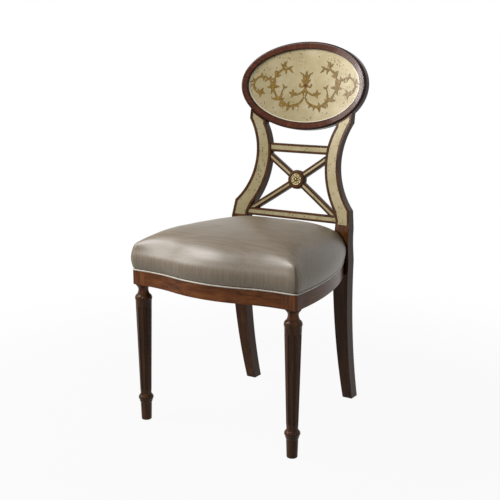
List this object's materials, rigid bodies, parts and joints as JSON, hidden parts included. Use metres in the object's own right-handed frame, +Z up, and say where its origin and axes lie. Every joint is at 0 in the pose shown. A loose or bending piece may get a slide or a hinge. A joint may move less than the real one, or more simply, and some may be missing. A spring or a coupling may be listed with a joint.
{
  "type": "side chair",
  "caption": "Mahogany side chair with an oval panelled back, crossed lattice, upholstered bowed seat, fluted front legs and swept rear legs.",
  "frame": {"origin": "on the floor, at the middle of the whole chair's width and depth", "axes": "+Z up, the sitter faces -Y, +X to the sitter's left"},
  "size_m": [0.497, 0.5352, 0.9741],
  "materials": {
    "mahogany": "gloss",
    "gilded_inlay": "satin",
    "painted_glass": "gloss",
    "beech": "matte",
    "steel": "satin",
    "webbing": "matte",
    "padding": "matte",
    "silk": "satin",
    "lining": "matte",
    "brass": "satin"
  },
  "bodies": {
    "root": {"back_post_left": "mahogany", "back_post_right": "mahogany", "post_inlay_left": "gilded_inlay", "post_inlay_right": "gilded_inlay", "oval_frame": "mahogany", "oval_glass": "painted_glass", "oval_back_panel": "mahogany", "upper_cross_rail": "mahogany", "upper_rail_inlay": "gilded_inlay", "lower_cross_rail": "mahogany", "lower_rail_inlay": "gilded_inlay", "upper_arm_left": "mahogany", "upper_arm_right": "mahogany", "upper_arm_inlay_left": "gilded_inlay", "upper_arm_inlay_right": "gilded_inlay", "lower_arm_left": "mahogany", "lower_arm_right": "mahogany", "lower_arm_inlay_left": "gilded_inlay", "lower_arm_inlay_right": "gilded_inlay", "front_leg_left": "mahogany", "front_leg_right": "mahogany", "front_seat_rail": "mahogany", "side_seat_rail_left": "mahogany", "side_seat_rail_right": "mahogany", "back_seat_rail": "mahogany", "front_corner_block_left": "beech", "front_corner_block_right": "beech", "rear_corner_block_left": "beech", "rear_corner_block_right": "beech", "corner_block_screws": "steel", "seat_webbing": "webbing", "seat_pad": "padding", "seat_cover": "silk", "seat_welt": "silk", "dust_cover": "lining", "roundel": "mahogany", "rosette": "brass"}
  },
  "joints": []
}
